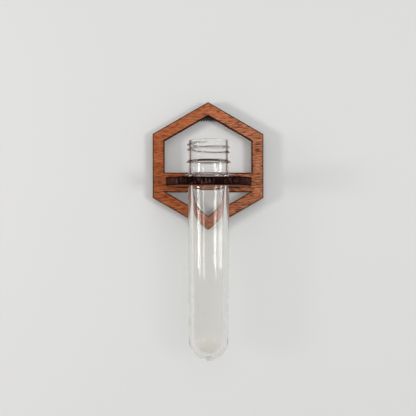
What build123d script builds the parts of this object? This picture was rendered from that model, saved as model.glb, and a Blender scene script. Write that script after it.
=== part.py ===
"""Wall-hung propagation vase: a clear tube that hangs in a plywood hexagon bracket.

Millimetres, with X to the viewer's right, +Y into the wall and +Z up. The origin is
the hanging point, on the wall at the top of the hanger's middle notch.
"""

import os
from math import cos, radians, sin, tan

from build123d import *

# Plywood sheet that the frame and the shelf are cut from
sheet = 5.2

# Hexagon frame, with two corners upright
frame_width = 72.6  # across the two upright sides
rim_band = 7.6  # width of the rim, square to its edge
crossbar_height = 12.8
crossbar_drop = 0.6  # of its lower edge under the window's side corners
hexagon_sides = 6
hexagon_turn = 90  # puts a corner at the top, in degrees

# Shelf
shelf_width = 53.2
corner_run = 8.2  # of each cut front corner, along the front edge
corner_slope = 60  # of the cut corners, in degrees from the front edge
shelf_lip = 6.0  # wood left in front of the tube's hole
shelf_drop = 0.3  # of the shelf's middle under the middle of the crossbar
tab_width = 12.0
tab_spacing = 28.0  # between the middles of the two tabs
slot_clearance = 0.1  # all round a tab in its slot

# Tube
tube_length = 137.8
body_diameter = 26.1  # under the ring
tip_diameter = 24.6  # where the round bottom starts
body_wall = 3.15
bottom_wall = 3.8
neck_diameter = 24.94
neck_wall = 1.6
ring_overhang = 3.45  # of the support ring beyond the body
ring_thickness = 2.4  # at the neck
ring_rim = 1.4  # height of the ring's rim, under its sloping top
ring_edge = 0.3  # bevel of the ring's rim
ring_depth = 23.4  # from the mouth to the ring's seat
bead_rise = 1.53  # of the bead from the neck
bead_height = 1.8
bead_slope = 1.4  # height of the bead's sloping top, over its sharp lower rim
bead_depth = 13.3  # from the mouth to the middle of the bead
mouth_edge = 0.5  # bevel of the rim at the mouth
shoulder = 14.0  # where the bore narrows under the ring
gate_diameter = 3.2  # moulding mark at the bottom
gate_height = 0.15
hole_clearance = 0.45  # round the tube in the shelf's hole
ring_gap = 2.5  # between the ring and the frame

# Sawtooth hanger, bent out of steel strip
strip_thickness = 0.8
strip_height = 5.8
strip_rise = 1.4  # of the toothed middle from the two ears
toothed_width = 11.9
bend_run = 1.5  # width of each bend
ear_run = 1.75  # from a bend to the middle of its nail
tooth_count = 7
tooth_depth = 1.2
tooth_tip = 0.25  # flat tip of a tooth
ear_rise = 0.8  # of the nails above the middle of the rim

# Nails of the hanger
nail_diameter = 1.2
nail_cover = 1.6  # wood left in front of a nail's point
nail_head_diameter = 2.8
nail_head_height = 0.6
nail_head_edge = 0.25  # bevel of the head's rim
nail_hole_clearance = 0.15  # in the hanger's ears
nail_fit = 0.02  # in the wood

# Radii of the tube
body_radius = body_diameter / 2
bore_radius = body_radius - body_wall
tip_radius = tip_diameter / 2
tip_bore_radius = tip_radius - body_wall
neck_radius = neck_diameter / 2
mouth_radius = neck_radius - neck_wall
bead_radius = neck_radius + bead_rise
ring_radius = body_radius + ring_overhang
hole_radius = body_radius + hole_clearance

# Depths, from the wall forwards
frame_back = strip_rise + strip_thickness
frame_front = frame_back + sheet
tube_depth = frame_front + ring_gap + ring_radius
shelf_reach = tube_depth + hole_radius + shelf_lip
nail_grip = sheet - nail_cover

# Heights, from the hanging point
rim_slope = 180 / hexagon_sides  # of the rim's upper edges, in degrees
nail_spacing = toothed_width + 2 * bend_run + 2 * ear_run
strip_bottom = -tooth_depth
nail_height = strip_bottom + strip_height / 2
rim_middle_height = nail_height - ear_rise + nail_spacing / 2 * tan(radians(rim_slope))
apex_height = rim_middle_height + rim_band / 2 / cos(radians(rim_slope))
frame_radius = frame_width / 2 / cos(radians(rim_slope))
hexagon_height = apex_height - frame_radius
window_width = frame_width - 2 * rim_band
crossbar_bottom = hexagon_height - window_width / 2 * tan(radians(rim_slope)) - crossbar_drop
crossbar_middle = crossbar_bottom + crossbar_height / 2
shelf_middle = crossbar_middle - shelf_drop
shelf_bottom = shelf_middle - sheet / 2
shelf_top = shelf_bottom + sheet
mouth_height = shelf_top + ring_depth
bottom_height = mouth_height - tube_length

# Hexagon frame: one sheet with two windows, the tab slots and the nails' pilot holes
with BuildPart() as hexagon_frame:
    with BuildSketch(Plane.XZ.offset(frame_back)):
        with Locations((0, hexagon_height)):
            RegularPolygon(frame_width / 2, hexagon_sides, major_radius=False, rotation=hexagon_turn)
            RegularPolygon(
                window_width / 2,
                hexagon_sides,
                major_radius=False,
                rotation=hexagon_turn,
                mode=Mode.SUBTRACT,
            )
        with Locations((0, crossbar_middle)):
            Rectangle(frame_width - rim_band, crossbar_height)
        with Locations((0, shelf_middle)):
            with GridLocations(tab_spacing, 0, 2, 1):
                Rectangle(tab_width + 2 * slot_clearance, sheet + 2 * slot_clearance, mode=Mode.SUBTRACT)
    extrude(amount=sheet)
    with BuildSketch(Plane.XZ.offset(frame_back)):
        with Locations((0, nail_height)):
            with GridLocations(nail_spacing, 0, 2, 1):
                Circle(nail_diameter / 2 + nail_fit)
    extrude(amount=nail_grip + nail_fit, mode=Mode.SUBTRACT)

# Shelf: cut front corners, a hole for the tube and two tabs through the crossbar
corner_depth = corner_run * tan(radians(corner_slope))

with BuildPart() as tube_shelf:
    with BuildSketch(Plane.XY.offset(shelf_bottom)):
        with BuildLine():
            Polyline(
                (0, -frame_front),
                (shelf_width / 2, -frame_front),
                (shelf_width / 2, corner_depth - shelf_reach),
                (shelf_width / 2 - corner_run, -shelf_reach),
                (0, -shelf_reach),
            )
            mirror(about=Plane.YZ)
        make_face()
        with Locations((0, -frame_back - sheet / 2)):
            with GridLocations(tab_spacing, 0, 2, 1):
                Rectangle(tab_width, sheet)
        with Locations((0, -tube_depth)):
            Circle(hole_radius, mode=Mode.SUBTRACT)
    extrude(amount=sheet)

# Tube: half section turned round its axis, from the mouth down the outside and up the bore
ring_top = shelf_top + ring_thickness
bead_top = mouth_height - bead_depth + bead_height / 2
bead_bottom = bead_top - bead_height
body_end = bottom_height + gate_height + tip_radius
bore_end = bottom_height + gate_height + bottom_wall + tip_bore_radius
bowl_angle = 45  # a point half way round each bowl
bowl_reach = cos(radians(bowl_angle))
bowl_fall = sin(radians(bowl_angle))

with BuildPart() as vase_tube:
    with BuildSketch(Plane.XZ.offset(tube_depth)) as half_section:
        with BuildLine():
            Polyline(
                (mouth_radius, mouth_height),
                (neck_radius, mouth_height),
                (neck_radius, bead_top),
                (bead_radius, bead_top - bead_slope),
                (bead_radius, bead_bottom),
                (neck_radius, bead_bottom),
                (neck_radius, ring_top),
                (ring_radius, shelf_top + ring_rim),
                (ring_radius, shelf_top),
                (body_radius, shelf_top),
                (tip_radius, body_end),
            )
            ThreePointArc(
                (tip_radius, body_end),
                (tip_radius * bowl_reach, body_end - tip_radius * bowl_fall),
                (0, body_end - tip_radius),
            )
            Line((0, body_end - tip_radius), (0, bore_end - tip_bore_radius))
            ThreePointArc(
                (0, bore_end - tip_bore_radius),
                (tip_bore_radius * bowl_reach, bore_end - tip_bore_radius * bowl_fall),
                (tip_bore_radius, bore_end),
            )
            Polyline(
                (tip_bore_radius, bore_end),
                (bore_radius, shelf_top - shoulder),
                (mouth_radius, shelf_top),
                (mouth_radius, mouth_height),
            )
        make_face()
        chamfer(half_section.vertices().group_by(Axis.X)[-1], ring_edge)
        chamfer(half_section.vertices().group_by(Axis.Y)[-1], mouth_edge)
    revolve(axis=Axis((0, -tube_depth, 0), (0, 0, 1)))
    with BuildSketch(Plane.XY.offset(bottom_height)):
        with Locations((0, -tube_depth)):
            Circle(gate_diameter / 2)
    extrude(amount=gate_height + bottom_wall / 2)

# Hanger: strip bent out from the frame between two ears, with a row of notches and two nail holes
ear_depth = frame_back - strip_thickness / 2
raised_depth = strip_thickness / 2
strip_end = nail_spacing / 2 + strip_height / 2
tooth_pitch = toothed_width / tooth_count
notch_width = tooth_pitch - tooth_tip

with BuildPart() as sawtooth_hanger:
    with BuildSketch(Plane.XY.offset(strip_bottom)):
        with BuildLine():
            Polyline(
                (-strip_end, -ear_depth),
                (-toothed_width / 2 - bend_run, -ear_depth),
                (-toothed_width / 2, -raised_depth),
                (toothed_width / 2, -raised_depth),
                (toothed_width / 2 + bend_run, -ear_depth),
                (strip_end, -ear_depth),
            )
        trace(line_width=strip_thickness)
    extrude(amount=strip_height)
    with BuildSketch(Plane.XZ):
        with Locations((0, nail_height)):
            SlotCenterToCenter(nail_spacing, strip_height)
            with GridLocations(nail_spacing, 0, 2, 1):
                Circle(nail_diameter / 2 + nail_hole_clearance, mode=Mode.SUBTRACT)
        with GridLocations(tooth_pitch, 0, tooth_count, 1):
            Polygon(
                (-notch_width / 2, strip_bottom),
                (notch_width / 2, strip_bottom),
                (0, 0),
                align=None,
                mode=Mode.SUBTRACT,
            )
    extrude(amount=frame_back, mode=Mode.INTERSECT)

# Nails: two short shanks with flat round heads, driven through the ears
head_depth = frame_back - strip_thickness

with BuildPart() as hanger_nails:
    with BuildSketch(Plane.XZ.offset(head_depth)):
        with Locations((0, nail_height)):
            with GridLocations(nail_spacing, 0, 2, 1):
                Circle(nail_head_diameter / 2)
    extrude(amount=-nail_head_height)
    chamfer(hanger_nails.faces().group_by(Axis.Y)[-1].edges(), nail_head_edge)
    with BuildSketch(Plane.XZ.offset(head_depth)):
        with Locations((0, nail_height)):
            with GridLocations(nail_spacing, 0, 2, 1):
                Circle(nail_diameter / 2)
    extrude(amount=strip_thickness + nail_grip)

hexagon_frame.part.label = "hexagon_frame"
tube_shelf.part.label = "tube_shelf"
vase_tube.part.label = "vase_tube"
sawtooth_hanger.part.label = "sawtooth_hanger"
hanger_nails.part.label = "hanger_nails"

os.makedirs("parts", exist_ok=True)
export_step(hexagon_frame.part, "parts/hexagon_frame.step")
export_step(tube_shelf.part, "parts/tube_shelf.step")
export_step(vase_tube.part, "parts/vase_tube.step")
export_step(sawtooth_hanger.part, "parts/sawtooth_hanger.step")
export_step(hanger_nails.part, "parts/hanger_nails.step")
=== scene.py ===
"""Wall-hung propagation vase: a clear tube that hangs in a plywood hexagon bracket.

Metres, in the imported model's frame: X to the viewer's right, +Y into the wall and +Z up.
"""

from collections import namedtuple
from math import asin, atan2, ceil, cos, hypot, pi, radians, sin, tan, tau

import bmesh
import bpy
from bpy.props import FloatProperty, FloatVectorProperty, IntProperty, PointerProperty
from bpy.types import Operator, Panel, PropertyGroup
from mathutils import Matrix, Vector


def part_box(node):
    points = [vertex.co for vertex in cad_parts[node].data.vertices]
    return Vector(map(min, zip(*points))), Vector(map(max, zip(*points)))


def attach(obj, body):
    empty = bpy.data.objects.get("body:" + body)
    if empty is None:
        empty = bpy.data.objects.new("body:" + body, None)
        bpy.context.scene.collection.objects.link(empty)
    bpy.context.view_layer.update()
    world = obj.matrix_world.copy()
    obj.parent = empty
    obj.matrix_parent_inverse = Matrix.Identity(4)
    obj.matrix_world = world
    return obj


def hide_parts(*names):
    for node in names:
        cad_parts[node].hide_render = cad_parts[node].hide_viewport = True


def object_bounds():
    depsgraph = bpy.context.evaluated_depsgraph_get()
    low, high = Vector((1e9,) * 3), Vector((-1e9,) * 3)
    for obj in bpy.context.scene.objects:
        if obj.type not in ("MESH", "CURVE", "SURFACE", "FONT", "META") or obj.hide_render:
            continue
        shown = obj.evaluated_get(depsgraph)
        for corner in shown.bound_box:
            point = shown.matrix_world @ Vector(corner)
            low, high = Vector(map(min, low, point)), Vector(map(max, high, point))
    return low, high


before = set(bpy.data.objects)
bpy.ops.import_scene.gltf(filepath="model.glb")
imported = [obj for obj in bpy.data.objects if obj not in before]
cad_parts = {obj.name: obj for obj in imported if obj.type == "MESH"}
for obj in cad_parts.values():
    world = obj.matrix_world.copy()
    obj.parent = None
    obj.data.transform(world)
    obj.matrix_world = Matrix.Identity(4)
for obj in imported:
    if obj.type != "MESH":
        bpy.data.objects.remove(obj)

bl_info = {
    "name": "Propagation vase",
    "version": (1, 0, 0),
    "blender": (4, 5, 0),
    "location": "View3D > Sidebar > Vase",
    "description": "Builds a wall-hung propagation vase over its packed frame",
    "category": "Add Mesh",
}

MM = 0.001
FRONT = Vector((0, -1, 0))
UP = Vector((0, 0, 1))
RIGHT = Vector((1, 0, 0))
STAND = Matrix.Rotation(radians(90), 4, "X")  # turns a flat shape up into the wall's plane
MERGE = 0.001 * MM  # points this close to each other are one

cad_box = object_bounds()
frame_low, frame_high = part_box("hexagon_frame")
shelf_low, shelf_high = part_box("tube_shelf")
tube_low, tube_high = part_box("vase_tube")
strip_low, strip_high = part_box("sawtooth_hanger")
nails_low, nails_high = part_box("hanger_nails")
sheet = frame_high.y - frame_low.y
shelf_middle = (shelf_low.z + shelf_high.z) / 2
tube_axis = Vector(((tube_low.x + tube_high.x) / 2, (tube_low.y + tube_high.y) / 2, 0))


def length(name, description, default):
    """A size, which the panel shows as a length."""
    return FloatProperty(
        name=name, description=description, default=default, precision=5, subtype="DISTANCE", unit="LENGTH"
    )


def angle(name, description, default):
    """An angle, which the panel shows in degrees."""
    return FloatProperty(
        name=name, description=description, default=radians(default), subtype="ANGLE", unit="ROTATION"
    )


def colour(name, description, default):
    """A linear colour with a picker in the panel."""
    return FloatVectorProperty(
        name=name, description=description, default=default, min=0, max=1, subtype="COLOR"
    )


class BracketSettings(PropertyGroup):
    """Sizes and colours of the plywood frame and shelf"""

    rim_band: length("Rim band", "Width of the hexagon's rim, square to its edge", 7.6 * MM)
    crossbar_height: length("Crossbar height", "Height of the bar that carries the shelf", 12.8 * MM)
    crossbar_drop: length("Crossbar drop", "Lower edge of the bar under the window's side corners", 0.6 * MM)
    corner_run: length("Corner run", "Cut of each front corner of the shelf, along its front edge", 8.2 * MM)
    corner_slope: angle("Corner slope", "Slope of the cut corners from the front edge", 60)
    hole_radius: length("Hole radius", "Radius of the tube's hole in the shelf", 13.5 * MM)
    tab_width: length("Tab width", "Width of each tab of the shelf", 12.0 * MM)
    tab_spacing: length("Tab spacing", "Between the middles of the two tabs", 28.0 * MM)
    slot_clearance: length("Slot clearance", "Gap round a tab in its slot", 0.1 * MM)
    scorch_width: length("Scorch width", "Border of the faces that the cutting beam burnt", 1.3 * MM)
    edge_ease: length("Edge ease", "Rounding of the cut edges", 0.12 * MM)
    veneer_light: colour("Light veneer", "Veneer between its pores", (0.46, 0.128, 0.039))
    veneer_dark: colour("Dark veneer", "Veneer in its dark streaks", (0.235, 0.052, 0.0135))
    # Painted light: the top is brightened toward this colour; the pale flecks on the left take it too
    veneer_fleck_and_top_light: colour("Bright veneer", "Brighter veneer towards the top", (0.60, 0.18, 0.068))
    # This colour is also a painted sheen that the right side grows paler toward
    veneer_pale_and_sheen: colour("Pale veneer", "Short pale flecks of the veneer", (0.56, 0.27, 0.16))
    pore: colour("Pore", "Open pores of the veneer", (0.075, 0.017, 0.007))
    char_light: colour("Light char", "Pale marks on the cut edges", (0.17, 0.085, 0.07))
    char_brown: colour("Brown char", "Cut edges to the sides", (0.085, 0.02, 0.011))
    char_dark: colour("Dark char", "Burnt parts of the cut edges", (0.007, 0.0018, 0.0014))


class TubeSettings(PropertyGroup):
    """Sizes and colour of the clear tube"""

    body_radius: length("Body radius", "Outside radius of the tube under its ring", 13.05 * MM)
    tip_radius: length("Tip radius", "Outside radius where the round bottom starts", 12.3 * MM)
    body_wall: length("Body wall", "Thickness of the tube's wall under its neck", 3.15 * MM)
    bottom_wall: length("Bottom wall", "Thickness at the round bottom", 3.8 * MM)
    neck_radius: length("Neck radius", "Outside radius of the neck between its turns", 12.47 * MM)
    mouth_radius: length("Mouth radius", "Inside radius of the neck", 10.87 * MM)
    ring_thickness: length("Ring thickness", "Height of the support ring at the neck", 2.4 * MM)
    ring_rim: length("Ring rim", "Height of the support ring's rim, under its sloping top", 1.4 * MM)
    ring_edge: length("Ring edge", "Rounding of the support ring's rim", 0.4 * MM)
    bead_radius: length("Bead radius", "Outside radius of the bead under the thread", 14.0 * MM)
    bead_height: length("Bead height", "Height of the bead", 1.8 * MM)
    bead_slope: length("Bead slope", "Height of the bead's sloping top", 1.4 * MM)
    bead_depth: length("Bead depth", "From the mouth to the middle of the bead", 13.3 * MM)
    bead_edge: length("Bead edge", "Rounding of the bead's rim", 0.12 * MM)
    mouth_edge: length("Mouth edge", "Rounding of the rim at the mouth", 0.5 * MM)
    root: length("Root", "Rounding where the ring and the bead meet the neck", 0.35 * MM)
    shoulder: length("Shoulder", "Stretch under the ring in which the bore narrows", 14.0 * MM)
    gate_radius: length("Gate radius", "Radius of the moulding mark at the bottom", 1.6 * MM)
    gate_height: length("Gate height", "Height of the moulding mark at the bottom", 0.15 * MM)
    seat_gap: length("Seat gap", "Air film between the support ring and the shelf", 0.04 * MM)
    thread_height: length("Thread height", "Rise of the thread from the neck", 1.245 * MM)
    thread_pitch: length("Thread pitch", "Height of one turn of the thread", 3.18 * MM)
    thread_start: length("Thread start", "From the mouth to the middle of the thread's upper end", 2.0 * MM)
    thread_crest: length("Thread crest", "Half width of the thread at its crest", 0.1 * MM)
    thread_top: length("Thread top", "Height of the thread's sloping top", 0.7 * MM)
    thread_foot: length("Thread foot", "Height of the thread's steeper underside", 0.25 * MM)
    thread_low: angle("Thread low end", "Where the thread starts, round from the right", -38)
    thread_high: angle("Thread high end", "Where the thread ends, round from the right", 640)
    thread_fade: angle("Thread fade", "Angle in which each end of the thread rises", 60)
    segments: IntProperty(name="Segments", description="Steps round the tube", default=144, min=24)
    tint: colour("Tint", "Tint of the clear plastic in the neck's thin wall", (0.992, 0.992, 0.987))
    thick_tint: colour("Thick tint", "Tint of the plastic where its wall is thick", (0.87, 0.845, 0.785))
    shade: colour("Shade", "Light that each wall lets through to what is behind it", (0.93, 0.935, 0.93))
    gloss: colour("Gloss", "How much of the room the plastic mirrors", (0.3, 0.3, 0.3))
    refraction: FloatProperty(name="Refraction", description="Refractive index of the plastic", default=1.57)


class HangerSettings(PropertyGroup):
    """Sizes and colours of the sawtooth hanger and its nails"""

    strip_thickness: length("Strip thickness", "Thickness of the steel strip", 0.8 * MM)
    toothed_width: length("Toothed width", "Width of the raised middle, which has the teeth", 11.9 * MM)
    bend_run: length("Bend run", "Width of each bend", 1.5 * MM)
    tooth_depth: length("Tooth depth", "Depth of the notches", 1.2 * MM)
    tooth_tip: length("Tooth tip", "Flat tip of a tooth", 0.25 * MM)
    tooth_count: IntProperty(name="Teeth", description="Number of notches", default=7, min=1)
    edge_ease: length("Edge ease", "Rounding of the stamped edges", 0.08 * MM)
    nail_radius: length("Nail radius", "Radius of a nail's shank", 0.6 * MM)
    nail_hole: length("Nail hole", "Radius of the holes in the ears", 0.75 * MM)
    nail_head_radius: length("Nail head radius", "Radius of a nail's head", 1.4 * MM)
    nail_head_height: length("Nail head height", "Thickness of a nail's head", 0.6 * MM)
    nail_head_edge: length("Nail head edge", "Rounding of a nail's head", 0.25 * MM)
    strip_steel: colour("Strip steel", "Blackened steel of the strip", (0.065, 0.065, 0.068))
    nail_steel: colour("Nail steel", "Bright steel of the nails", (0.50, 0.50, 0.49))


class StageSettings(PropertyGroup):
    """Wall, lights and camera"""

    wall_colour: colour("Wall colour", "Paint of the wall and the floor", (0.725, 0.725, 0.717))
    wall_reach: length("Wall reach", "Half width of the wall", 1.6)
    floor_drop: length("Floor drop", "From the hanging point down to the floor", 0.9)
    wall_sweep: length("Wall sweep", "Size of the curve between the wall and the floor", 0.3)
    wall_gap: length("Wall gap", "Air film between the hanger and the wall", 0.2 * MM)
    fade_start: length("Fade start", "Where the wall starts to fade, from the hanging point", 0.45)
    fade_end: length("Fade end", "Where the wall has faded into the backdrop", 1.1)
    sky: colour("Ambient light", "Even light from all round", (0.40, 0.40, 0.40))
    backdrop: colour("Backdrop", "What shows past the wall", (0.74, 0.74, 0.735))
    room_ends: colour("Room ends", "What gloss shows overhead and underfoot", (0.25, 0.25, 0.25))
    eye_side: length("Eye side", "Camera to the right of the hanging point", -6.7 * MM)
    eye_turn: angle("Eye turn", "Turn of the camera to the right", 0.846)
    eye_distance: length("Eye distance", "Camera in front of the wall", 456.4 * MM)
    eye_drop: length("Eye drop", "Camera under the hanging point", 58.86 * MM)
    lens: FloatProperty(name="Lens", description="Focal length", default=59.28, subtype="DISTANCE_CAMERA")


class Value:
    """A node's output, whose arithmetic adds Math nodes."""

    def __init__(self, graph, socket):
        self.graph = graph
        self.socket = socket

    def __add__(self, other):
        return self.graph.math("ADD", self, other)

    def __sub__(self, other):
        return self.graph.math("SUBTRACT", self, other)

    def __rsub__(self, other):
        return self.graph.math("SUBTRACT", other, self)

    def __mul__(self, other):
        return self.graph.math("MULTIPLY", self, other)

    def __abs__(self):
        return self.graph.math("ABSOLUTE", self)

    __radd__ = __add__
    __rmul__ = __mul__


class Graph:
    """A node tree that is put together from an empty one."""

    def __init__(self, tree):
        self.tree = tree
        self.tree.nodes.clear()

    def node(self, kind, settings=None, inputs=None, output=0):
        """Adds a node of that type, sets it up, feeds its sockets and gives one of its outputs."""
        node = self.tree.nodes.new("ShaderNode" + kind)
        for setting, value in (settings or {}).items():
            setattr(node, setting, value)
        for socket, value in (inputs or {}).items():
            if isinstance(value, Value):
                self.tree.links.new(value.socket, node.inputs[socket])
            else:
                node.inputs[socket].default_value = value
        return Value(self, node.outputs[output]) if node.outputs else None

    def math(self, operation, first, second=0.0):
        """One step of arithmetic on values."""
        return self.node("Math", {"operation": operation}, {0: first, 1: second})

    def mix(self, factor, first, second):
        """A colour between two."""
        ends = {0: factor, 6: opaque(first), 7: opaque(second)}
        return self.node("Mix", {"data_type": "RGBA"}, ends, output=2)

    def step(self, value, low, high):
        """A smooth step from 0 at low to 1 at high."""
        ends = {"Value": value, "From Min": low, "From Max": high}
        return self.node("MapRange", {"interpolation_type": "SMOOTHSTEP"}, ends)

    def noise(self, scale, detail=2.0, roughness=0.5):
        """Noise on Object coordinates, with so many cells a metre along each axis."""
        place = self.node("TexCoord", output="Object")
        cells = self.node("Mapping", inputs={"Vector": place, "Scale": scale})
        grade = {"Scale": 1.0, "Detail": detail, "Roughness": roughness}
        return self.node("TexNoise", inputs={"Vector": cells, **grade})

    def seen(self):
        """1 for rays that show a surface: straight to the camera, in gloss or through clear pieces."""
        rays = self.node("LightPath", output="Is Camera Ray")
        rays = rays + self.node("LightPath", output="Is Glossy Ray")
        rays = rays + self.node("LightPath", output="Is Transmission Ray")
        return self.step(rays, 0.0, 1.0)

    def bump(self, height, distance, strength):
        """A normal that follows a height, whose full rise is that distance."""
        return self.node("Bump", inputs={"Height": height, "Distance": distance, "Strength": strength})


def opaque(value):
    """A colour as a socket takes it."""
    return value if isinstance(value, Value) else (*value, 1.0)


def new_material(name):
    """An empty material and the graph of its nodes."""
    material = bpy.data.materials.new(name)
    material.use_nodes = True
    return material, Graph(material.node_tree)


def surface(graph, shader):
    """Ends a material's graph."""
    graph.node("OutputMaterial", inputs={"Surface": shader})


def veneer_finish(settings):
    """Reddish veneer with its grain along X: dark lines, short pale and dark flecks, burnt borders.

    Painted light makes it brighter towards the top, and a painted sheen makes it paler to the right, with
    more pale flecks there.
    """
    material, graph = new_material("veneer")
    # Noise in long cells along the grain
    figure = graph.noise((14, 120, 120), detail=3)
    streaks = graph.noise((45, 760, 760), detail=4, roughness=0.62)
    flecks = graph.noise((230, 1750, 1750), detail=1)
    fibres = graph.noise((420, 4200, 4200), detail=2)
    # Where each mark of the wood shows
    tone = graph.step(figure * 0.25 + streaks * 0.75, 0.33, 0.67)
    lines = graph.step(streaks, 0.40, 0.29)
    pores = graph.step(flecks, 0.52, 0.64)
    pale = graph.step(flecks, 0.48, 0.36)
    scorch = graph.node("Attribute", {"attribute_name": "scorch"}, output="Fac")
    burnt = graph.step(scorch + flecks * 0.3, 0.50, 0.88)
    place = graph.node("TexCoord", output="Object")
    side = graph.node("SeparateXYZ", inputs={"Vector": place}, output="X")
    height = graph.node("SeparateXYZ", inputs={"Vector": place}, output="Z")
    # Mask of the painted sheen that grows to the right
    painted_sheen_to_right = graph.step(side, -30 * MM, 36 * MM)
    # Mask of the painted light that brightens the top
    painted_top_light = graph.step(height, -22 * MM, 6 * MM)
    # Each colour is laid over the ones before
    wood = graph.mix(tone, settings.veneer_dark, settings.veneer_light)
    # Painted light: brighter towards the top
    wood = graph.mix(painted_top_light * 0.35, wood, settings.veneer_fleck_and_top_light)
    # Painted sheen: paler to the right
    wood = graph.mix(painted_sheen_to_right * 0.18, wood, settings.veneer_pale_and_sheen)
    wood = graph.mix(lines * 0.5, wood, settings.pore)
    # Stronger pores to the right, as part of the painted sheen's contrast
    wood = graph.mix(pores * (0.7 + 0.15 * painted_sheen_to_right), wood, settings.pore)
    # The pale flecks are real on the left and grow into a painted sheen to the right
    fleck_and_painted_sheen = graph.mix(painted_sheen_to_right, settings.veneer_fleck_and_top_light, settings.veneer_pale_and_sheen)
    wood = graph.mix(pale * (0.35 + 0.45 * painted_sheen_to_right), wood, fleck_and_painted_sheen)
    wood = graph.mix(fibres * 0.16, wood, settings.pore)
    wood = graph.mix(burnt * 0.95, wood, settings.char_dark)
    shader = graph.node(
        "BsdfPrincipled",
        inputs={
            "Base Color": wood,
            "Roughness": 0.5 + 0.16 * fibres + 0.14 * pores,
            "Specular IOR Level": 0.12,
            "Normal": graph.bump(fibres * 0.35 + streaks * 0.4 - pores, 0.05 * MM, 0.6),
        },
    )
    surface(graph, shader)
    return material


def plywood_veneer(settings):
    """The veneer of both plywood pieces, which is made once."""
    return bpy.data.materials.get("veneer") or veneer_finish(settings)


def cut_edge_finish(settings, name, across, middle):
    """Burnt edge of the plywood, browner to the sides, with marks of the beam across it.

    The sheet's thickness runs along the axis across, which is X, Y or Z, with its middle at middle.
    """
    material, graph = new_material(name)
    marks_scale = Vector((1050, 1050, 1050))
    marks_scale["XYZ".index(across)] = 300  # the marks are long across the sheet
    marks = graph.noise(marks_scale, detail=3, roughness=0.6)
    clusters = graph.noise((90, 90, 90), detail=1)
    place = graph.node("TexCoord", output="Object")
    depth = graph.node("SeparateXYZ", inputs={"Vector": place}, output=across)
    side = abs(graph.node("SeparateXYZ", inputs={"Vector": place}, output="X"))
    from_middle = abs(depth - middle) * (2 / sheet)  # 0 in the middle and 1 at the sheet's faces
    glue_line = 0.36
    rims = graph.step(from_middle, 0.45, 0.85)
    glue = graph.step(abs(from_middle - glue_line), 0.08, 0.0)
    browner = graph.step(side, 15 * MM, 24 * MM)
    light = graph.step(marks, 0.50, 0.66) * (0.3 + 0.7 * graph.step(clusters, 0.40, 0.60))
    burnt = graph.mix(browner * 0.5, settings.char_dark, settings.char_brown)
    burnt = graph.mix(light * 0.8, burnt, settings.char_light)
    burnt = graph.mix(rims * 0.9, burnt, settings.char_dark)
    burnt = graph.mix(glue * 0.45, burnt, settings.char_dark)
    shader = graph.node(
        "BsdfPrincipled",
        inputs={
            "Base Color": burnt,
            "Roughness": 0.55 + 0.25 * marks,
            "Specular IOR Level": 0.02,
            "Normal": graph.bump(marks, 0.06 * MM, 0.7),
        },
    )
    surface(graph, shader)
    return material


def clear_finish(settings):
    """Clear moulded plastic, warmer where its wall is thick, with a faint haze in places.

    Shadows and bounced light go straight through it, with a faint shade.
    """
    material, graph = new_material("tube_plastic")
    haze = graph.noise((70, 70, 25), detail=2)
    place = graph.node("TexCoord", output="Object")
    height = graph.node("SeparateXYZ", inputs={"Vector": place}, output="Z")
    body = graph.step(height, shelf_high.z, shelf_high.z - settings.shoulder)
    bottom = graph.step(height, tube_low.z + settings.body_radius, tube_low.z)
    clear = graph.node(
        "BsdfPrincipled",
        inputs={
            "Base Color": graph.mix(0.35 * body + 0.4 * bottom, settings.tint, settings.thick_tint),
            "Roughness": 0.008 + 0.025 * graph.step(haze, 0.45, 0.75),
            "IOR": settings.refraction,
            "Specular Tint": opaque(settings.gloss),
            "Transmission Weight": 1.0,
        },
    )
    faint_shade = graph.node("BsdfTransparent", inputs={"Color": opaque(settings.shade)})
    for ray in ("Is Shadow Ray", "Is Diffuse Ray"):
        unbent = graph.node("LightPath", output=ray)
        clear = graph.node("MixShader", inputs={0: unbent, 1: clear, 2: faint_shade})
    surface(graph, clear)
    return material


def steel_finish(name, tone, marks_scale, roughness):
    """Steel with drawing marks and a few duller patches, which add to its roughness."""
    material, graph = new_material(name)
    marks = graph.noise(marks_scale, detail=3, roughness=0.6)
    patches = graph.noise((260, 260, 260), detail=2)
    dull = graph.step(patches, 0.45, 0.75)
    dark_tone = tuple(0.55 * part for part in tone)
    shader = graph.node(
        "BsdfPrincipled",
        inputs={
            "Base Color": graph.mix(0.5 * marks + 0.3 * dull, tone, dark_tone),
            "Metallic": 1.0,
            "Roughness": roughness + 0.18 * marks + 0.12 * dull,
            "Normal": graph.bump(marks, 0.02 * MM, 0.5),
        },
    )
    surface(graph, shader)
    return material


def wall_finish(settings):
    """Matt paint that the camera, gloss and clear pieces see from the front, and that fades far out."""
    material, graph = new_material("pale_wall")
    relief = graph.noise((900, 900, 900), detail=2)
    paint = graph.node(
        "BsdfDiffuse",
        inputs={"Color": opaque(settings.wall_colour), "Normal": graph.bump(relief, 0.05 * MM, 0.15)},
    )
    facing = 1 - graph.node("NewGeometry", output="Backfacing")
    place = graph.node("TexCoord", output="Object")
    distance = graph.node("VectorMath", {"operation": "LENGTH"}, {0: place}, output="Value")
    near = graph.step(distance, settings.fade_end, settings.fade_start)
    open_air = graph.node("BsdfTransparent")
    surface(graph, graph.node("MixShader", inputs={0: graph.seen() * facing * near, 1: open_air, 2: paint}))
    return material


def add_object(name, bm, materials):
    """Makes a finished bmesh an object at the origin."""
    mesh = bpy.data.meshes.new(name)
    bm.to_mesh(mesh)
    bm.free()
    for material in materials:
        mesh.materials.append(material)
    item = bpy.data.objects.new(name, mesh)
    bpy.context.scene.collection.objects.link(item)
    return item


def add_piece(name, bm, materials, body, node):
    """Makes a finished bmesh a piece that stands for a CAD node and moves with its body."""
    piece = add_object(name, bm, materials)
    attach(piece, body)
    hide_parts(node)


# A corner of an outline: its place, the radius of its rounding, and the step on the run to it
Corner = namedtuple("Corner", "across up rounding step", defaults=(0.0, 6.0 * MM))


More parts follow.
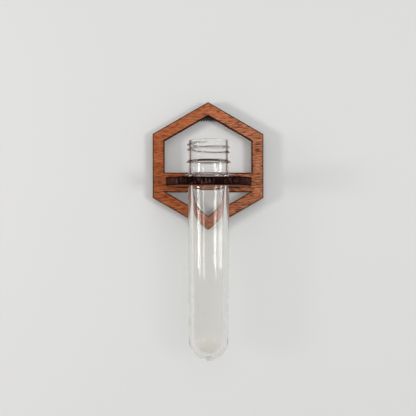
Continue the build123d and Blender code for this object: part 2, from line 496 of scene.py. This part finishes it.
def rounded(corners, turn=radians(9), support=0.15 * MM):
    """Points along a line with rounded corners, with a support point beside each end of a long run.

    A corner's step is the longest gap between points on the run that leads to it.
    """
    places = [Vector((corner.across, corner.up)) for corner in corners]
    stretches = []
    for index, corner in enumerate(corners):
        here = places[index]
        if not corner.rounding:
            stretches.append([here])
            continue
        back = (places[index - 1] - here).normalized()
        on = (places[(index + 1) % len(places)] - here).normalized()
        half = back.angle(on) / 2
        middle = here + (back + on).normalized() * corner.rounding / sin(half)
        first = here + back * corner.rounding / tan(half) - middle
        last = here + on * corner.rounding / tan(half) - middle
        steps = ceil((pi - 2 * half) / turn)
        spokes = [first.slerp(last, step / steps) for step in range(steps + 1)]
        stretches.append([middle + spoke * corner.rounding for spoke in spokes])
    points = stretches[0]
    for stretch, corner in zip(stretches[1:], corners[1:]):
        start, end = points[-1], stretch[0]
        run = (end - start).length
        if run > 4 * support:
            direction = (end - start) / run
            steps = ceil((run - 2 * support) / corner.step)
            gap = (run - 2 * support) / steps
            points = points + [start + direction * (support + gap * step) for step in range(steps + 1)]
        points = points + stretch
    return points


def arc(middle, radius, start, end, steps):
    """Corners along part of a circle in the half section."""
    turns = [start + (end - start) * step / steps for step in range(steps + 1)]
    return [Corner(middle.x + radius * cos(turn), middle.y + radius * sin(turn)) for turn in turns]


def turned(bm, points, middle, axis, side, segments):
    """Spins a half section round an axis through middle. Each point is (from the axis, along it)."""
    line = [bm.verts.new(middle + side * point.x + axis * point.y) for point in points]
    edges = [bm.edges.new(pair) for pair in zip(line, line[1:])]
    bmesh.ops.spin(
        bm, geom=line + edges, cent=middle, axis=axis, angle=tau, steps=segments, use_merge=True
    )
    bmesh.ops.remove_doubles(bm, verts=bm.verts, dist=MERGE)
    bmesh.ops.recalc_face_normals(bm, faces=bm.faces)
    for face in bm.faces:
        face.smooth = True


def smooth_step(value):
    """0 under 0, 1 over 1 and a smooth rise between."""
    value = min(max(value, 0.0), 1.0)
    return value * value * (3 - 2 * value)


def cut_sheet(bm, facing, thickness, scorch_width, edge_ease):
    """Turns closed outlines into a sheet with open windows, browned borders and eased edges.

    The cut edges take the second material.
    """
    scorch = bm.verts.layers.float.new("scorch")
    bmesh.ops.triangle_fill(bm, edges=bm.edges, use_beauty=True, normal=facing)
    bmesh.ops.inset_region(
        bm, faces=bm.faces, use_boundary=True, use_even_offset=True, thickness=scorch_width
    )
    for vert in bm.verts:
        vert[scorch] = float(vert.is_boundary)
    slab = bmesh.ops.extrude_face_region(bm, geom=bm.faces)
    behind = [item for item in slab["geom"] if isinstance(item, bmesh.types.BMVert)]
    bmesh.ops.translate(bm, verts=behind, vec=-facing * thickness)
    bmesh.ops.recalc_face_normals(bm, faces=bm.faces)
    for face in bm.faces:
        face.material_index = 0 if abs(face.normal.dot(facing)) > 0.5 else 1
    rims = [
        edge
        for edge in bm.edges
        if len({face.material_index for face in edge.link_faces}) == 2
    ]
    bmesh.ops.bevel(
        bm, geom=rims, offset=edge_ease, segments=2, profile=0.5, affect="EDGES", material=-1
    )


def closed_line(bm, points):
    """A closed ring of edges through points."""
    verts = [bm.verts.new(point) for point in points]
    for pair in zip(verts, verts[1:] + verts[:1]):
        bm.edges.new(pair)


def keep_outlines(bm):
    """Deletes the faces and leaves their edges."""
    bmesh.ops.delete(bm, geom=bm.faces, context="FACES_ONLY")


class VASE_OT_hexagon_frame(Operator):
    """Cut the hexagon frame, with its crossbar, two windows and tab slots"""

    bl_idname = "vase.hexagon_frame"
    bl_label = "Hexagon frame"

    def execute(self, context):
        settings = context.scene.vase_bracket
        sides = 6
        lean = pi / sides  # of the hexagon's upper edges
        width = frame_high.x - frame_low.x
        middle = Vector((0, frame_low.y, (frame_low.z + frame_high.z) / 2))
        upright = Matrix.Translation(middle) @ STAND
        window_half = width / 2 - settings.rim_band
        bar_low = middle.z - window_half * tan(lean) - settings.crossbar_drop
        bar_high = bar_low + settings.crossbar_height

        bm = bmesh.new()
        window_radius = window_half / cos(lean)
        bmesh.ops.create_circle(bm, cap_ends=True, segments=sides, radius=window_radius, matrix=upright)
        for height in (bar_low, bar_high):
            whole = bm.verts[:] + bm.edges[:] + bm.faces[:]
            bmesh.ops.bisect_plane(
                bm, geom=whole, dist=MERGE, plane_co=(0, 0, height), plane_no=UP
            )
        bar = [face for face in bm.faces if bar_low < face.calc_center_median().z < bar_high]
        bmesh.ops.delete(bm, geom=bar, context="FACES")
        slot_width = settings.tab_width + 2 * settings.slot_clearance
        slot_height = sheet + 2 * settings.slot_clearance
        size = Matrix.Diagonal((slot_width, 1, slot_height, 1))
        for side in (-1, 1):
            place = Matrix.Translation((side * settings.tab_spacing / 2, frame_low.y, shelf_middle))
            bmesh.ops.create_grid(bm, x_segments=1, y_segments=1, size=0.5, matrix=place @ size @ STAND)
        keep_outlines(bm)
        bmesh.ops.create_circle(bm, segments=sides, radius=width / 2 / cos(lean), matrix=upright)
        cut_sheet(bm, FRONT, sheet, settings.scorch_width, settings.edge_ease)
        finishes = [
            plywood_veneer(settings),
            cut_edge_finish(settings, "frame_cut_edge", "Y", (frame_low.y + frame_high.y) / 2),
        ]
        add_piece("hexagon_frame_plywood", bm, finishes, "bracket", "hexagon_frame")
        return {"FINISHED"}


class VASE_OT_tube_shelf(Operator):
    """Cut the shelf, with its front corners, the tube's hole and two tabs"""

    bl_idname = "vase.tube_shelf"
    bl_label = "Tube shelf"

    def execute(self, context):
        settings = context.scene.vase_bracket
        half = shelf_high.x
        front, back, tab_back, top = shelf_low.y, frame_low.y, shelf_high.y, shelf_high.z
        corner_depth = settings.corner_run * tan(settings.corner_slope)
        tab_inner = settings.tab_spacing / 2 - settings.tab_width / 2
        tab_outer = settings.tab_spacing / 2 + settings.tab_width / 2
        right_side = [
            (half - settings.corner_run, front, top),
            (half, front + corner_depth, top),
            (half, back, top),
            (tab_outer, back, top),
            (tab_outer, tab_back, top),
            (tab_inner, tab_back, top),
            (tab_inner, back, top),
        ]
        left_side = [(-x, y, z) for x, y, z in reversed(right_side)]

        bm = bmesh.new()
        closed_line(bm, right_side + left_side)
        hole = Matrix.Translation((tube_axis.x, tube_axis.y, top))
        hole_steps = 120
        bmesh.ops.create_circle(bm, segments=hole_steps, radius=settings.hole_radius, matrix=hole)
        cut_sheet(bm, UP, sheet, settings.scorch_width, settings.edge_ease)
        for face in bm.faces:
            centre = face.calc_center_median() - tube_axis
            face.smooth = face.material_index == 1 and hypot(centre.x, centre.y) < settings.hole_radius
        finishes = [
            plywood_veneer(settings),
            cut_edge_finish(settings, "shelf_cut_edge", "Z", shelf_middle),
        ]
        add_piece("tube_shelf_plywood", bm, finishes, "bracket", "tube_shelf")
        return {"FINISHED"}


def tube_section(settings):
    """The tube's half section, from the bottom up its outside and down its bore."""
    mouth, bottom, seat = tube_high.z, tube_low.z, shelf_high.z
    ring_radius = (tube_high.x - tube_low.x) / 2
    body, tip, neck = settings.body_radius, settings.tip_radius, settings.neck_radius
    bore, tip_bore = body - settings.body_wall, tip - settings.body_wall
    ring_low = seat + settings.seat_gap
    ring_high = seat + settings.ring_thickness
    bead_low = mouth - settings.bead_depth - settings.bead_height / 2
    bead_high = bead_low + settings.bead_height
    bowl = Vector((0, bottom + settings.gate_height + tip))
    bowl_inside = Vector((0, bottom + settings.gate_height + settings.bottom_wall + tip_bore))
    bowl_steps = 30
    gate_edge = 0.1 * MM
    gate_foot = 1.06 * settings.gate_radius  # where the mark's flank meets the bowl
    gate_turn = asin(gate_foot / tip)
    thread_step = 0.15 * MM  # between the points on the neck that the thread is raised from
    return [
        Corner(0, bottom),
        Corner(settings.gate_radius, bottom, gate_edge),
        *arc(bowl, tip, gate_turn - pi / 2, 0, bowl_steps),
        Corner(body, ring_low, settings.root),
        Corner(ring_radius, ring_low, settings.ring_edge),
        Corner(ring_radius, seat + settings.ring_rim, settings.ring_edge),
        Corner(neck, ring_high, settings.root),
        Corner(neck, bead_low, settings.root),
        Corner(settings.bead_radius, bead_low, settings.bead_edge),
        Corner(settings.bead_radius, bead_high - settings.bead_slope, settings.bead_edge),
        Corner(neck, bead_high, settings.root),
        Corner(neck, mouth, settings.mouth_edge, thread_step),
        Corner(settings.mouth_radius, mouth, settings.mouth_edge),
        Corner(settings.mouth_radius, seat, settings.shoulder),
        Corner(bore, seat - settings.shoulder, settings.shoulder),
        *arc(bowl_inside, tip_bore, 0, -pi / 2, bowl_steps),
    ]


def raise_thread(bm, settings):
    """Lifts the thread out of the neck's wall. It climbs to the right in front, as right-hand threads do."""
    mouth = tube_high.z
    reach = mouth - settings.bead_depth + settings.bead_height
    wall_tolerance = 0.02 * MM
    turns_to_try = range(-1, 3)  # the thread passes some angles more than once
    for vert in bm.verts:
        out = Vector((vert.co.x - tube_axis.x, vert.co.y - tube_axis.y, 0))
        if vert.co.z < reach or abs(out.length - settings.neck_radius) > wall_tolerance:
            continue
        rise = 0.0
        round_angle = atan2(out.y, out.x)
        for turns in turns_to_try:
            along = round_angle + turns * tau
            drop = settings.thread_pitch * (settings.thread_high - along) / tau
            middle = mouth - settings.thread_start - drop
            above = vert.co.z - middle
            run = settings.thread_top if above > 0 else settings.thread_foot
            flank = 1 - (abs(above) - settings.thread_crest) / run
            from_end = min(along - settings.thread_low, settings.thread_high - along)
            rise = max(rise, min(max(flank, 0.0), 1.0) * smooth_step(from_end / settings.thread_fade))
        vert.co += out.normalized() * settings.thread_height * rise


class VASE_OT_vase_tube(Operator):
    """Mould the clear tube, with its round bottom, support ring, bead and threaded neck"""

    bl_idname = "vase.vase_tube"
    bl_label = "Vase tube"

    def execute(self, context):
        settings = context.scene.vase_tube
        bm = bmesh.new()
        turned(bm, rounded(tube_section(settings)), tube_axis, UP, RIGHT, settings.segments)
        raise_thread(bm, settings)
        add_piece("vase_tube_clear", bm, [clear_finish(settings)], "tube", "vase_tube")
        return {"FINISHED"}


class VASE_OT_sawtooth_hanger(Operator):
    """Stamp and bend the sawtooth hanger"""

    bl_idname = "vase.sawtooth_hanger"
    bl_label = "Sawtooth hanger"

    def execute(self, context):
        settings = context.scene.vase_hanger
        low, high, end = strip_low.z, strip_high.z, strip_high.x
        ear_radius = (high - low) / 2
        pitch = settings.toothed_width / settings.tooth_count
        notch = (pitch - settings.tooth_tip) / 2
        bend_top = settings.toothed_width / 2
        bend_foot = bend_top + settings.bend_run
        rise = strip_high.y - settings.strip_thickness - strip_low.y
        hole_steps = 32
        sharp = radians(70)  # edges that turn by more than this are eased

        corners = [Corner(-end, low, ear_radius), Corner(-end, high, ear_radius)]
        corners += [Corner(end, high, ear_radius), Corner(end, low, ear_radius)]
        for tooth in range(settings.tooth_count):
            middle = bend_top - (tooth + 0.5) * pitch
            corners += [Corner(middle + notch, low), Corner(middle, low + settings.tooth_depth)]
            corners += [Corner(middle - notch, low)]

        bm = bmesh.new()
        closed_line(bm, [(point.x, strip_low.y, point.y) for point in rounded(corners)])
        bmesh.ops.remove_doubles(bm, verts=bm.verts, dist=MERGE)
        for side in (-1, 1):
            hole = Matrix.Translation((side * (end - ear_radius), strip_low.y, low + ear_radius))
            bmesh.ops.create_circle(bm, segments=hole_steps, radius=settings.nail_hole, matrix=hole @ STAND)
        bmesh.ops.triangle_fill(bm, edges=bm.edges, use_beauty=True, normal=FRONT)
        for place in (-bend_foot, -bend_top, bend_top, bend_foot):
            whole = bm.verts[:] + bm.edges[:] + bm.faces[:]
            bmesh.ops.bisect_plane(
                bm, geom=whole, dist=MERGE, plane_co=(place, 0, 0), plane_no=RIGHT
            )
        for vert in bm.verts:
            along_bend = (bend_foot - abs(vert.co.x)) / settings.bend_run
            vert.co.y += rise * min(max(along_bend, 0.0), 1.0)
        bmesh.ops.recalc_face_normals(bm, faces=bm.faces)
        if bm.faces[0].normal.y > 0:
            bmesh.ops.reverse_faces(bm, faces=bm.faces)
        bmesh.ops.solidify(bm, geom=bm.faces, thickness=settings.strip_thickness)
        bmesh.ops.recalc_face_normals(bm, faces=bm.faces)
        rims = [edge for edge in bm.edges if edge.calc_face_angle() > sharp]
        bmesh.ops.bevel(
            bm, geom=rims, offset=settings.edge_ease, segments=2, profile=0.5, affect="EDGES", material=-1
        )
        along_strip = (900, 5200, 5200)  # cells a metre of its drawing marks
        finish = steel_finish("pressed_steel", settings.strip_steel, along_strip, roughness=0.34)
        add_piece("sawtooth_hanger_steel", bm, [finish], "bracket", "sawtooth_hanger")
        return {"FINISHED"}


class VASE_OT_hanger_nails(Operator):
    """Make the two nails that hold the hanger"""

    bl_idname = "vase.hanger_nails"
    bl_label = "Hanger nails"

    def execute(self, context):
        settings = context.scene.vase_hanger
        point, top = nails_low.y, nails_high.y
        under_head = top - settings.nail_head_height
        taper = 1.6 * settings.nail_radius  # length of the nail's point
        under_edge = 0.1 * MM
        steps_round = 32
        place = Vector((nails_high.x - settings.nail_head_radius, 0, (nails_low.z + nails_high.z) / 2))
        section = rounded(
            [
                Corner(0, point),
                Corner(settings.nail_radius, point + taper),
                Corner(settings.nail_radius, under_head),
                Corner(settings.nail_head_radius, under_head, under_edge),
                Corner(settings.nail_head_radius, top, settings.nail_head_edge),
                Corner(0, top),
            ]
        )
        bm = bmesh.new()
        turned(bm, section, place, -FRONT, RIGHT, steps_round)
        bmesh.ops.mirror(bm, geom=bm.verts[:] + bm.edges[:] + bm.faces[:], axis="X", merge_dist=0)
        bmesh.ops.recalc_face_normals(bm, faces=bm.faces)
        along_nail = (2600, 900, 2600)  # cells a metre of its drawing marks
        finish = steel_finish("bright_steel", settings.nail_steel, along_nail, roughness=0.22)
        add_piece("hanger_nails_steel", bm, [finish], "bracket", "hanger_nails")
        return {"FINISHED"}


def add_wall(settings):
    """A wall that runs in a curve into a floor."""
    reach = settings.wall_reach
    sweep_steps = 16
    bm = bmesh.new()
    place = Matrix.Translation((0, settings.wall_gap, reach - settings.floor_drop))
    bmesh.ops.create_grid(bm, x_segments=1, y_segments=1, size=reach, matrix=place @ STAND)
    foot = min(bm.edges, key=lambda edge: edge.verts[0].co.z + edge.verts[1].co.z)
    floor = bmesh.ops.extrude_edge_only(bm, edges=[foot])
    front = [item for item in floor["geom"] if isinstance(item, bmesh.types.BMVert)]
    bmesh.ops.translate(bm, verts=front, vec=FRONT * 2 * reach)
    bmesh.ops.bevel(
        bm,
        geom=[foot],
        offset=settings.wall_sweep,
        segments=sweep_steps,
        profile=0.5,
        affect="EDGES",
        material=-1,
    )
    bmesh.ops.recalc_face_normals(bm, faces=bm.faces)
    if max(bm.faces, key=lambda face: face.calc_area()).normal.dot(FRONT + UP) < 0:
        bmesh.ops.reverse_faces(bm, faces=bm.faces)
    for face in bm.faces:
        face.smooth = True
    add_object("wall", bm, [wall_finish(settings)])


def add_soft_light(name, side, rise, distance, size, strength, tone, matt=True, through=True):
    """A rectangular light, turned by side to the right of the camera and by rise above the part's middle.

    Its strength is what it adds to a white surface that faces it squarely. It shows in gloss, and
    it may light matt surfaces and show through the clear tube.
    """
    target = (cad_box[0] + cad_box[1]) / 2
    back = Vector((sin(side) * cos(rise), -cos(side) * cos(rise), sin(rise)))
    data = bpy.data.lights.new(name, "AREA")
    data.shape = "RECTANGLE"
    data.size, data.size_y = size
    data.energy = strength * pi * pi * distance * distance
    data.color = tone
    light = bpy.data.objects.new(name, data)
    light.location = target + back * distance
    light.rotation_euler = back.to_track_quat("Z", "Y").to_euler()
    light.visible_camera = False
    light.visible_diffuse = matt
    light.visible_transmission = through
    bpy.context.scene.collection.objects.link(light)


def add_lights():
    """Two strips and a fill in front, a strip that only shows in the gloss, and a fill behind."""
    warm = (1.0, 0.97, 0.93)
    cool = (0.96, 0.98, 1.0)
    white = (1.0, 1.0, 1.0)
    level = radians(-0.4)
    near, far = 1.0, 1.2
    tall = 0.233
    add_soft_light("left_strip", radians(-60), level, near, (0.15, tall), 0.42, warm)
    add_soft_light("right_strip", radians(37), level, near, (0.21, tall), 0.27, cool)
    add_soft_light("edge_strip", radians(74), level, near, (0.22, tall), 0.25, cool, matt=False)
    add_soft_light("front_fill", radians(4), radians(24), far, (1.2, 1.0), 0.29, white, through=False)
    add_soft_light("back_fill", radians(180), radians(20), far, (1.6, 1.6), 0.30, white)


def add_room(settings):
    """An even sky, where the camera sees the backdrop and gloss sees a room with darker ends."""
    world = bpy.data.worlds.new("pale_room")
    world.use_nodes = True
    graph = Graph(world.node_tree)
    outlook = graph.node("TexCoord", output="Generated")
    steep = abs(graph.node("SeparateXYZ", inputs={"Vector": outlook}, output="Z"))
    to_ends = graph.step(steep, 0.25, 0.75)
    room = graph.mix(to_ends, settings.backdrop, settings.room_ends)
    tone = graph.mix(graph.seen(), settings.sky, room)
    tone = graph.mix(graph.node("LightPath", output="Is Camera Ray"), tone, settings.backdrop)
    light = graph.node("Background", inputs={"Color": tone, "Strength": 1.0})
    graph.node("OutputWorld", inputs={"Surface": light})
    bpy.context.scene.world = world


def add_camera(settings):
    """A level camera in front of the wall."""
    eye = bpy.data.cameras.new("camera")
    eye.lens = settings.lens
    camera = bpy.data.objects.new("camera", eye)
    camera.location = (settings.eye_side, -settings.eye_distance, -settings.eye_drop)
    camera.rotation_euler = (radians(90), 0, -settings.eye_turn)
    bpy.context.scene.collection.objects.link(camera)
    bpy.context.scene.camera = camera


class VASE_OT_stage(Operator):
    """Set up the wall, the lights, the room and the camera"""

    bl_idname = "vase.stage"
    bl_label = "Stage"

    def execute(self, context):
        settings = context.scene.vase_stage
        add_wall(settings)
        add_lights()
        add_room(settings)
        add_camera(settings)
        context.scene.view_settings.view_transform = "Standard"
        return {"FINISHED"}


class VASE_PT_vase(Panel):
    """The vase's pieces and their settings"""

    bl_label = "Propagation vase"
    bl_space_type = "VIEW_3D"
    bl_region_type = "UI"
    bl_category = "Vase"

    def draw(self, context):
        for operator in operators:
            self.layout.operator(operator.bl_idname)
        for group, _ in groups:
            settings = getattr(context.scene, group)
            column = self.layout.column(heading=settings.bl_rna.description)
            for name in settings.__annotations__:
                column.prop(settings, name)


operators = (
    VASE_OT_hexagon_frame,
    VASE_OT_tube_shelf,
    VASE_OT_vase_tube,
    VASE_OT_sawtooth_hanger,
    VASE_OT_hanger_nails,
    VASE_OT_stage,
)
groups = (
    ("vase_bracket", BracketSettings),
    ("vase_tube", TubeSettings),
    ("vase_hanger", HangerSettings),
    ("vase_stage", StageSettings),
)


def register():
    """Adds the settings, the operators and the panel."""
    for group, settings in groups:
        bpy.utils.register_class(settings)
        setattr(bpy.types.Scene, group, PointerProperty(type=settings))
    for operator in operators:
        bpy.utils.register_class(operator)
    bpy.utils.register_class(VASE_PT_vase)


def unregister():
    """Takes them away again."""
    bpy.utils.unregister_class(VASE_PT_vase)
    for operator in reversed(operators):
        bpy.utils.unregister_class(operator)
    for group, settings in reversed(groups):
        delattr(bpy.types.Scene, group)
        bpy.utils.unregister_class(settings)


def main():
    """Builds the vase and its stage."""
    register()
    bpy.ops.vase.hexagon_frame()
    bpy.ops.vase.tube_shelf()
    bpy.ops.vase.vase_tube()
    bpy.ops.vase.sawtooth_hanger()
    bpy.ops.vase.hanger_nails()
    bpy.ops.vase.stage()


if __name__ == "__main__":
    main()
